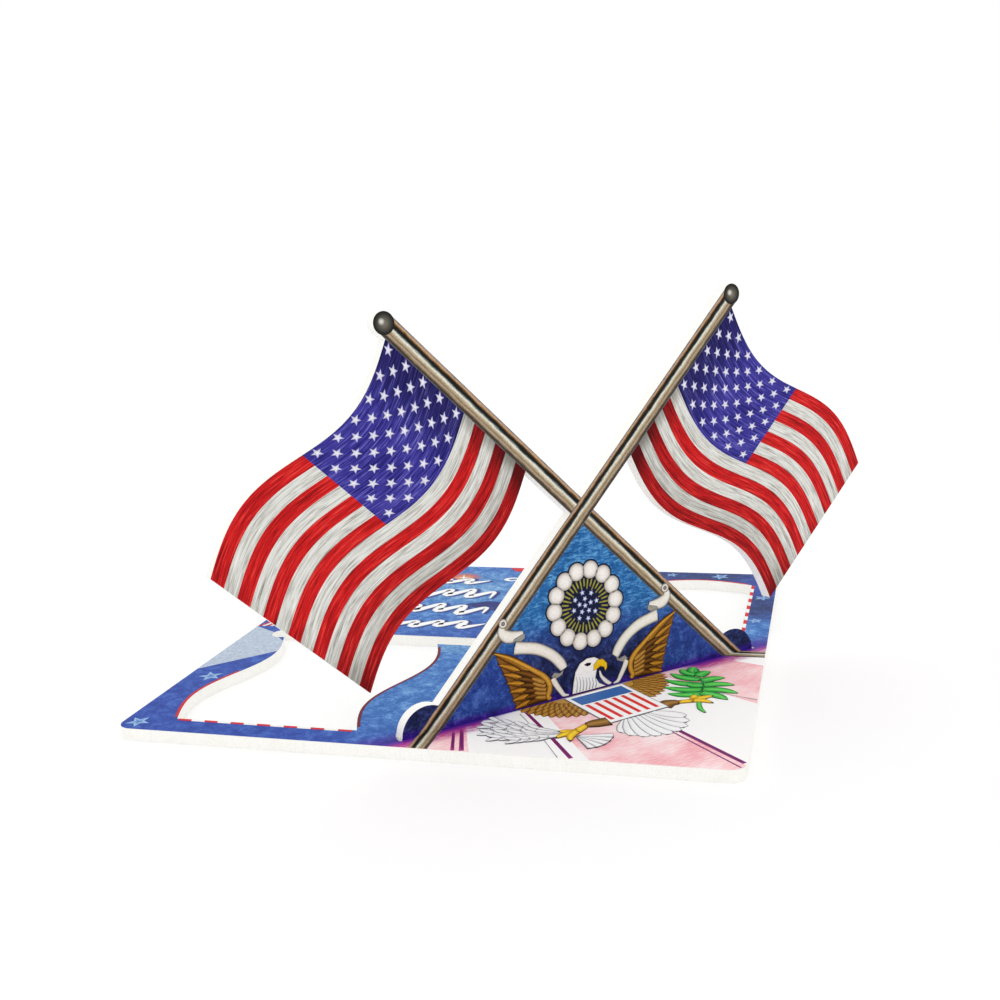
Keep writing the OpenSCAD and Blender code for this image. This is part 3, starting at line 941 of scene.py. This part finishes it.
def head():
    """The eagle's white head with its hooked yellow beak, turned to the right."""
    crown = [(-5.8, 0.4), (-5.3, 3.3), (-4.6, 6.0), (-3.1, 8.0), (-0.9, 8.9), (1.3, 8.8), (2.8, 7.9),
             (3.1, 6.6), (1.9, 5.4), (1.4, 3.4), (2.4, 1.7), (4.4, 0.4)]
    items = [(fill([emblem(x * 1.05, h * 1.03 - 0.01) for x, h in crown], 0.2), "outline"),
             (fill([emblem(*p) for p in crown], 0.45), "head_white")]
    for i in range(7):
        x = -4.4 + 0.95 * i
        lock = [emblem(x, 4.8 - 0.25 * i), emblem(x + 0.25, 2.9 - 0.2 * i), emblem(x - 0.1, 0.7)]
        items.append((strip(lock, [0.08, 0.22, 0.3], 4), "quill_grey"))
    beak = [(0.8, 5.2), (1.0, 6.8), (2.3, 7.9), (3.9, 7.8), (5.1, 6.4), (5.0, 5.2), (4.4, 4.4),
            (4.1, 5.5), (3.0, 6.0), (2.0, 5.5)]
    items.append((fill([emblem(*p) for p in beak], 0.28), "beak"))
    brow = [(-1.9, 7.4), (-0.9, 7.75), (0.3, 7.5), (0.0, 6.9), (-1.0, 6.8)]
    items.append((fill([emblem(*p) for p in brow], 0.15), "eye"))
    string = [emblem(2.7, 4.9), emblem(3.1, 3.4), emblem(4.3, 1.9), emblem(5.9, 0.6)]
    items.append((strip(string, [0.4, 0.9, 1.2, 1.0], 5), "ribbon"))
    draw("eagle_head", PANEL, items)
    collar = [(-7.4, -1.7), (-6.2, -0.4), (5.0, -0.4), (6.8, -1.7)]
    draw("eagle_collar", BASE, [(fill([emblem(*p) for p in collar], 0.2), "feather_gold")])


SHIELD = (8.6, -1.3, -20.2)     # half its width, and its top and bottom edges' places
SHIELD_BARS = 6


def shield():
    """A square shield with a blue top and red bars on white."""
    half, top, bottom = SHIELD
    outline = [emblem(-half, bottom), emblem(half, bottom), emblem(half, top), emblem(-half, top)]
    wide = [emblem(x * (half + 0.3), y) for x, y in
            [(-1, bottom - 0.3), (1, bottom - 0.3), (1, top + 0.3), (-1, top + 0.3)]]
    chief_low = top - 6.0
    chief = [emblem(x * (half - 0.95), y) for x, y in
             [(-1, chief_low), (1, chief_low), (1, top - 0.95), (-1, top - 0.95)]]
    items = [(fill(wide, 0.3), "quill_grey"), (fill(outline, 0.1), "shield_white"),
             (fill(chief, 0.4), "shield_blue")]
    pitch = 2 * (half - 1.4) / (SHIELD_BARS - 0.55)
    for i in range(SHIELD_BARS):
        x = -half + 2.0 + pitch * i
        heights = (chief_low - 0.5, (chief_low + bottom) / 2, bottom + 1.2)
        bar = [emblem(x, h) for h in heights]
        items.append((strip(bar, [1.15, 1.2, 1.15], 2, (0.2, 0.2)), "shield_red"))
    draw("shield", BASE, items)


def tail():
    """White tail feathers that fan out below the shield."""
    items = []
    tips = [(-9.2, -26.8), (-8.3, -29.4), (-6.3, -31.6), (-3.7, -32.8), (-0.9, -33.6), (1.9, -33.4),
            (4.6, -32.4), (7.0, -30.2), (8.6, -27.4)]
    for tip in tips:
        root = (tip[0] * 0.42, -20.6)
        line = [emblem(*root), emblem((root[0] + tip[0]) / 2, (root[1] + tip[1]) / 2), emblem(*tip)]
        items.append((strip(line, [1.6, 2.9, 3.9, 3.7, 1.9], 6, (0.0, 0.5)), "tail_white"))
    draw("tail_feathers", BASE, items)


def claw(side, root, knee, toes, grip):
    """A brown thigh, a yellow leg, and toes that close round what the claw holds."""
    items = [(strip(each_side([(8.0, -19.3), root, knee], side), [4.6, 4.2, 2.4], 5), "thigh"),
             (strip(each_side([knee, grip], side), [1.9, 2.4], 3), "claw")]
    for toe in toes:
        middle = ((grip[0] + toe[0]) / 2 + 0.5, (grip[1] + toe[1]) / 2 + 0.3)
        items.append((strip(each_side([grip, middle, toe], side), [2.2, 2.2, 0.8], 5), "claw"))
        nail = (toe[0] + 0.1 * (toe[0] - grip[0]), toe[1] + 0.14 * (toe[1] - grip[1]))
        items.append((strip(each_side([toe, nail], side), [0.55, 0.15], 2), "eye"))
    return items


def arrows():
    """The left claw holds a bundle of arrows: barbed feathers at one end and a fan at the other."""
    items = []
    grip = (19.4, -20.6)
    for end in [(30.6, -1.4), (33.6, -3.6), (35.6, -7.4), (35.4, -11.4), (32.2, -15.4)]:
        shaft = each_side([grip, ((grip[0] + end[0]) / 2, (grip[1] + end[1]) / 2), end], -1)
        items.append((strip(shaft, [1.3, 2.2, 1.2], 5), "quill"))
        dx, dh = end[0] - grip[0], end[1] - grip[1]
        reach = math.atan2(dh, dx)
        for k in range(4):
            share = 0.4 + 0.16 * k
            x, h = grip[0] + dx * share, grip[1] + dh * share
            for lean in (-0.42, 0.42):
                tip = (x + 4.0 * math.cos(reach + lean), h + 4.0 * math.sin(reach + lean))
                items.append(feather(-1, (x, h), tip, 2.0, "quill"))
    for end in [(19.9, -29.7), (17.9, -30.0), (15.7, -29.5), (13.7, -28.4), (12.0, -26.8)]:
        vane = each_side([(18.9, -22.4), end], -1)
        items.append((strip(vane, [0.9, 2.4], 5, (0.0, 0.3)), "quill"))
    items += claw(-1, (11.3, -18.6), (13.6, -18.2), [(20.8, -17.7), (23.2, -20.2), (21.6, -23.4)],
                  (17.6, -19.9))
    draw("arrow_bundle", BASE, items)


def sprig():
    """The right claw holds a leafy green sprig."""
    axis = [(13.6, -28.4), (14.3, -25.6), (16.4, -22.6), (19.6, -19.0), (23.6, -15.4), (26.4, -11.2),
            (28.4, -6.2), (29.2, -3.4)]
    items = [(strip(each_side(axis[2:], 1), [1.0, 0.9, 0.8, 0.6, 0.4], 5), "stem")]
    leaves = [((20.6, -18.2), (14.0, -13.4)), ((22.6, -16.2), (16.0, -9.4)),
              ((24.8, -13.6), (19.4, -5.6)), ((26.6, -10.6), (23.2, -2.6)),
              ((28.0, -7.4), (27.2, -1.6)), ((20.8, -17.8), (23.2, -25.2)),
              ((22.6, -16.2), (28.0, -23.4)), ((24.6, -14.2), (31.0, -18.6)),
              ((26.2, -11.8), (32.4, -13.2)), ((27.6, -8.6), (32.4, -7.4)),
              ((28.6, -5.6), (31.0, -2.6)), ((24.6, -14.0), (21.6, -11.2))]
    for root, tip in leaves:
        items.append(feather(1, root, tip, 3.5, "leaf", 0.1))
        vein = each_side([root, (root[0] * 0.3 + tip[0] * 0.7, root[1] * 0.3 + tip[1] * 0.7)], 1)
        items.append((strip(vein, [0.28, 0.1], 3), "stem"))
    items.append((strip(each_side(axis[:4], 1), [0.5, 1.4, 1.2, 0.9], 6), "leaf"))
    items += claw(1, (10.2, -18.6), (12.6, -19.4), [(18.4, -18.0), (21.6, -21.2), (18.8, -24.4)],
                  (16.2, -20.8))
    draw("sprig", BASE, items)


def ray_lines():
    """Purple double lines where the front corner's pink and white rays meet."""
    purple, grey = "ray_purple", "quill_grey"
    lines = [([(2.0, -30.0), (2.2, -43.0), (2.4, -55.4)], [1.2, 1.2, 1.2], 6, purple),
             ([(0.3, -30.0), (0.3, -43.0), (0.3, -56.6)], [0.45, 0.45, 0.45], 6, purple),
             ([(-20.9, -2.6), (-23.4, -16.0), (-26.7, -31.4)], [0.9, 1.0, 1.1], 6, purple),
             ([(-22.6, -2.6), (-25.4, -16.0), (-28.9, -29.2)], [0.25, 0.25, 0.25], 6, grey),
             ([(-38.4, -2.2), (-44.6, -13.4)], [0.9, 1.2], 3, purple),
             ([(-40.8, -2.6), (-46.2, -12.0)], [0.7, 0.9], 3, purple),
             ([(22.5, -16.0), (28.9, -29.4)], [0.35, 0.3], 3, grey)]
    items = [(strip([emblem(*p) for p in line], widths, steps), paint)
             for line, widths, steps, paint in lines]
    draw("ray_lines", BASE, items)


# ---------------------------------------------------------------- print on the card

def edge_point(side, low, share, out):
    """A point of the opening's edge along a flag's lower or upper edge, moved away from it by out."""
    sign = -1 if low else 1
    slope = -WAVE * 2 * math.pi * math.cos(2 * math.pi * share) / FLY
    step = sign * (CUT_GAP + out) / math.sqrt(1 + slope * slope)
    u = POLE_W / 2 + share * FLY - step * slope
    v = DROP + (0 if low else HOIST) - WAVE * math.sin(2 * math.pi * share) + step
    return arm(side, u, v)


def opening_trims():
    """What the flags' print leaves on the card round their openings: red lines along the waving
    edges, and the ends of the stripes along the straight edge."""
    width = 0.8
    for side, name in [(1, "right_trim"), (-1, "left_trim")]:
        lower = [edge_point(side, True, 0.06 + 0.93 * i / 24, width / 2) for i in range(25)]
        upper = [edge_point(side, False, 0.48 + 0.51 * i / 16, width / 2) for i in range(17)]
        items = [(strip(lower, [width, width], 2), "trim_maroon"),
                 (strip(upper, [width, width], 2), "trim_red")]
        start = POLE_W / 2 + FLY + CUT_GAP + 0.02
        for i in range(STRIPES):
            low = DROP + i * STRIPE
            items.append((grid(lambda u, v: arm(side, u, v - WAVE * 2 * math.pi / FLY * (u - start)),
                               (start, start + 1.0), (low, low + STRIPE), 1, 1,
                               paint=lambda u, v: (0.0, v)), "trim_white" if i % 2 else "trim_red"))
        draw(name, BASE, items)


def left_corner():
    """Azure stars, a pale speckled patch and a small striped flash on the card's left side."""
    along_opening = [edge_point(-1, False, 0.2 - 0.02 * i, 0.04) for i in range(8)]
    finial = arm(-1, 0, POLE_UP)
    hole = FINIAL_D / 2 + CUT_GAP + 0.04
    round_hole = [(finial[0] + hole * math.cos(math.radians(a)),
                   finial[1] + hole * math.sin(math.radians(a))) for a in range(225, 119, -15)]
    patch = [card(0.05, 41.8), *along_opening, *round_hole, card(0.05, 79.5)]
    items = [(fill(patch, 0.0), "pale_blue"),
             (star(card(6.6, 37.0), 3.5, 74), "star_azure"),
             (star(card(4.0, 4.4), 3.3, 20), "star_azure")]
    for i in range(6):
        flash = [card(0.4 + 1.25 * i, 79.8 + 0.2 * i), card(2.4 + 1.25 * i, 84.4 - 0.3 * i)]
        items.append((strip(flash, [1.0, 0.9], 2), "trim_white" if i % 2 else "trim_red"))
    draw("left_corner_art", BASE, items)


def swirls():
    """White brush flourishes with navy shadows, an orange glow and small stars behind the panel."""
    items = [(fill([card(56, 108), card(73.5, 101.5), card(73.5, 112), card(64, 113)], 0.5),
              "swirl_navy"),
             (disc(card(48.5, 138.0), 6.4, 32), "glow_orange")]
    for i, (start, y, height, count) in enumerate([(26, 89.0, 6.0, 12), (14, 104.0, 8.5, 15),
                                                   (12, 120.5, 8.5, 15), (30, 134.0, 5.0, 8)]):
        line = [card(start + 3.7 * k + 3.0 * (k % 2),
                     y + height * (k % 2 - 0.5) * (0.8 + 0.3 * math.sin(2.2 * k + i)))
                for k in range(count)]
        wide = [0.5] + [2.2 + 1.7 * (k % 2) for k in range(count - 2)] + [0.4]
        shadow = [(x + 0.5, h - 0.9) for x, h in line]
        items.append((strip(shadow, [w + 0.7 for w in wide], 8), "swirl_navy"))
        items.append((strip(line, wide, 8), "swirl_white"))
    for cx, cy, r in [(20, 141, 6.0), (9, 92, 4.6), (66, 137.5, 3.6)]:
        loop = [card(cx + (r - 0.09 * r * k) * math.cos(0.75 * k), cy + (r - 0.09 * r * k) *
                     math.sin(0.75 * k) * 0.7) for k in range(10)]
        items.append((strip(loop, [0.3, 1.3, 1.9, 1.5, 0.9, 0.3], 5), "swirl_white"))
    for x, y, r in [(14, 146, 4.0), (30, 148.0, 2.4), (22, 136, 2.0), (60, 96, 1.4)]:
        items.append((star(card(x, y), r, 80 + 9 * x), "star_azure"))
    items.append((star(card(48.5, 138.4), 4.4, 60, 0.12, 4), "swirl_white"))
    flash = [card(61.5, 152.0), card(70.5, 152.0), card(70.5, 147.5), card(64.5, 147.8)]
    items.append((fill(flash, 0.3), "trim_red"))
    draw("back_flourishes", BASE, items)


def right_side():
    """Azure stars on the dark blue behind the right flag's opening and on the right side."""
    stars = [(134.0, 148.4, 3.2, 75), (118.0, 149.0, 2.2, 40), (148.6, 126.0, 2.6, 100),
             (100.0, 148.6, 2.6, 10), (148.0, 103.0, 2.2, 60)]
    items = [(star(card(x, y), size, turn), "star_azure") for x, y, size, turn in stars]
    draw("right_side_art", BASE, items)


def crease_strip():
    """The printed sheet's bend: a strip of the sheet that turns up from the card to the panel."""
    up = Vector((0.0, math.cos(RAISED), math.sin(RAISED)))
    half_t = (TOP - HINGE.z) * 0.96
    inside = Vector((0.0, -1.0, 1.0)).normalized()
    centre = [Vector((0.0, -CORE_END, 0.0)) * MM, Vector((0.0, -0.16, 0.0)) * MM,
              inside * 0.03 * MM, up * 0.16 * MM, up * CORE_END * MM]
    flat, raised = Vector((0.0, 0.0, 1.0)), Vector((0.0, -math.sin(RAISED), math.cos(RAISED)))
    normals = [flat, flat, inside, raised, raised]
    upper = [c + n * half_t for c, n in zip(centre, normals)]
    lower = [c - n * half_t for c, n in zip(centre, normals)]
    profile = upper + lower[::-1]
    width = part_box("crease_hinge")[1].x / MM
    middle, half = FOOT / math.sqrt(2), POLE_W / math.sqrt(2)
    marks = [-width, -middle - half, -middle + half, middle - half, middle + half, width]
    across = [a + (b - a) * i / 6 for a, b in zip(marks, marks[1:]) for i in range(6)] + [width]
    columns, n = len(across) - 1, len(profile)
    points = [HINGE + p + Vector((x * MM, 0, 0)) for x in across for p in profile]
    faces = [(i * n + k, i * n + (k + 1) % n, (i + 1) * n + (k + 1) % n, (i + 1) * n + k)
             for i in range(columns) for k in range(n)]
    faces += [tuple(range(n))[::-1], tuple(columns * n + k for k in range(n))]
    mesh = bpy.data.meshes.new("crease_strip")
    mesh.from_pydata(points, [], faces)
    work = bmesh.new()
    work.from_mesh(mesh)
    bmesh.ops.recalc_face_normals(work, faces=work.faces)
    work.to_mesh(mesh)
    work.free()
    mesh.uv_layers.new(name="art")
    mesh.materials.append(PAINTS["crease_violet"])
    mesh.materials.append(PAINTS["pole"])
    for face in mesh.polygons:
        x = face.center.x / MM
        if abs(abs(x) - middle) < half:
            face.material_index = 1
            for k in face.loop_indices:
                out = abs(mesh.vertices[mesh.loops[k].vertex_index].co.x / MM) - middle
                mesh.uv_layers["art"].data[k].uv = (out / half, -FOOT - math.copysign(GRAIN_SHIFT, x))
    piece = added("crease_strip", mesh)
    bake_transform(piece)
    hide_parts("crease_hinge")


# ---------------------------------------------------------------- run

for part in (finish_board, flags, poles, rosette, ribbons, wings, head, shield, tail, arrows, sprig,
             ray_lines, opening_trims, left_corner, swirls, right_side, crease_strip):
    part()


# ---------------------------------------------------------------- floor, light and camera

FLOOR_HALF = 3.0            # metres
CAMERA_AT = (-0.15641, -0.28308, 0.11359)
CAMERA_AIM = (0.46003, 0.82389, -0.33104)
CAMERA_RIGHT = (0.86443, -0.50074, -0.04500)
CAMERA_LENS = (42.81, 36.0, 0.15)   # focal length, sensor width and upward shift


def floor():
    mesh = bpy.data.meshes.new("floor")
    s = FLOOR_HALF
    mesh.from_pydata([(-s, -s, 0), (s, -s, 0), (s, s, 0), (-s, s, 0)], [], [(0, 1, 2, 3)])
    mat, tree, shader = new_material("pale_floor", 0.9)
    surface = node(tree, "ShaderNodeBsdfPrincipled", {**shader, "Base Color": rgb("#FAFAFA")})
    node(tree, "ShaderNodeOutputMaterial", {"Surface": surface})
    mesh.materials.append(mat)
    added("floor", mesh)


def soft_light(name, place, size, watts):
    """A square area light that faces the card."""
    data = bpy.data.lights.new(name, "AREA")
    data.size, data.energy = size, watts
    lamp = added(name, data)
    lamp.location = place
    lamp.rotation_euler = (Vector((0, 0, 0.03)) - Vector(place)).to_track_quat("-Z", "Y").to_euler()


def studio():
    world = bpy.data.worlds.new("studio")
    bpy.context.scene.world = world
    world.use_nodes = True
    background = world.node_tree.nodes["Background"]
    background.inputs[0].default_value = (1.0, 1.0, 1.0, 1.0)
    # A white room that is a little brighter overhead, so that upright faces stand off the floor
    tree = world.node_tree
    way = node(tree, "ShaderNodeTexCoord")
    parts = node(tree, "ShaderNodeSeparateXYZ", {0: way.outputs["Generated"]})
    glow = node(tree, "ShaderNodeMapRange", {0: parts.outputs[2], 1: 0.3, 2: 0.9, 3: 1.0, 4: 1.1})
    tree.links.new(glow.outputs[0], background.inputs[1])
    soft_light("key", (-0.45, -0.5, 0.8), 0.5, 0.5)
    soft_light("fill", (0.7, -0.3, 0.5), 0.6, 0.2)
    bpy.context.scene.view_settings.view_transform = "Standard"


def camera():
    data = bpy.data.cameras.new("camera")
    data.lens, data.sensor_width, data.shift_y = CAMERA_LENS
    view = added("camera", data)
    forward = Vector(CAMERA_AIM).normalized()
    right = Vector(CAMERA_RIGHT).normalized()
    up = right.cross(forward).normalized()
    turn = Matrix((right, up, -forward)).transposed()
    view.matrix_world = Matrix.Translation(CAMERA_AT) @ turn.to_4x4()
    bpy.context.scene.camera = view


floor()
studio()
camera()
